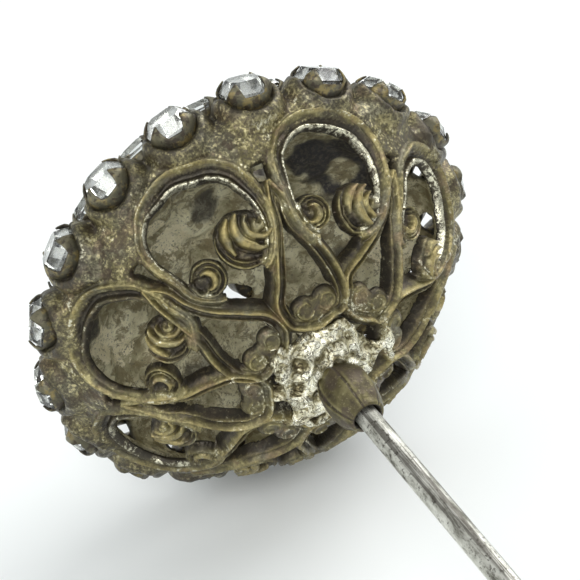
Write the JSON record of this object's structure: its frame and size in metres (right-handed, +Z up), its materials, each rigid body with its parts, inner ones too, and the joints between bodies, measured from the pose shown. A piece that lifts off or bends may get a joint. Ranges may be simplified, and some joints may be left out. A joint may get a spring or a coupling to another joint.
{
  "type": "hat pin",
  "caption": "Dress hat pin: a hollow openwork dome head with glass stones in claw cups on its front, on a long round steel pin soldered into a bulb ferrule.",
  "frame": {"origin": "centre of the lowest face of the bounding box, on the table that the pin lies on", "axes": "+Z up, -Y towards the pin's point, +X to the right when looking from the point towards the head; the pin lies on one rim stone and its point, so its axis slopes down 5.1 degrees towards the point"},
  "size_m": [0.0348, 0.2034, 0.035],
  "materials": {
    "aged_brass": "stamped brass with worn silver plate, aged to olive brown in the recesses and bare on the ridges",
    "claw_brass": "thin stamped brass cups and claws, dark olive patina",
    "ferrule_brass": "olive brass bulb with fine gores and dark seams",
    "glass_stone": "clear faceted paste",
    "solder": "rough bright grey soft solder with brown pits",
    "steel_pin": "drawn steel wire, grey, with dark specks and lengthwise scratches"
  },
  "bodies": {
    "root": {"back_shell": "aged_brass", "centre_setting": "claw_brass", "centre_stone": "glass_stone", "front_crown": "aged_brass", "inner_row_settings": "claw_brass", "inner_row_stones": "glass_stone", "pin_ferrule": "ferrule_brass", "pin_shank": "steel_pin", "rim_row_settings": "claw_brass", "rim_stone_01": "glass_stone", "rim_stone_02": "glass_stone", "rim_stone_03": "glass_stone", "rim_stone_04": "glass_stone", "rim_stone_05": "glass_stone", "rim_stone_06": "glass_stone", "rim_stone_07": "glass_stone", "rim_stone_08": "glass_stone", "rim_stone_09": "glass_stone", "rim_stone_10": "glass_stone", "rim_stone_11": "glass_stone", "rim_stone_12": "glass_stone", "rim_stone_13": "glass_stone", "rim_stone_14": "glass_stone", "rim_stone_15": "glass_stone", "rim_stone_16": "glass_stone", "rim_stone_17": "glass_stone", "rim_stone_18": "glass_stone", "second_row_settings": "claw_brass", "second_stone_01": "glass_stone", "second_stone_02": "glass_stone", "second_stone_03": "glass_stone", "second_stone_04": "glass_stone", "second_stone_05": "glass_stone", "second_stone_06": "glass_stone", "second_stone_07": "glass_stone", "second_stone_08": "glass_stone", "second_stone_09": "glass_stone", "second_stone_10": "glass_stone", "second_stone_11": "glass_stone", "second_stone_12": "glass_stone", "second_stone_13": "glass_stone", "second_stone_14": "glass_stone", "second_stone_15": "glass_stone", "second_stone_16": "glass_stone", "second_stone_17": "glass_stone", "second_stone_18": "glass_stone", "solder_patch": "solder", "third_row_settings": "claw_brass", "third_stone_01": "glass_stone", "third_stone_02": "glass_stone", "third_stone_03": "glass_stone", "third_stone_04": "glass_stone", "third_stone_05": "glass_stone", "third_stone_06": "glass_stone", "third_stone_07": "glass_stone", "third_stone_08": "glass_stone", "third_stone_09": "glass_stone", "third_stone_10": "glass_stone", "third_stone_11": "glass_stone", "third_stone_12": "glass_stone"}
  },
  "joints": []
}
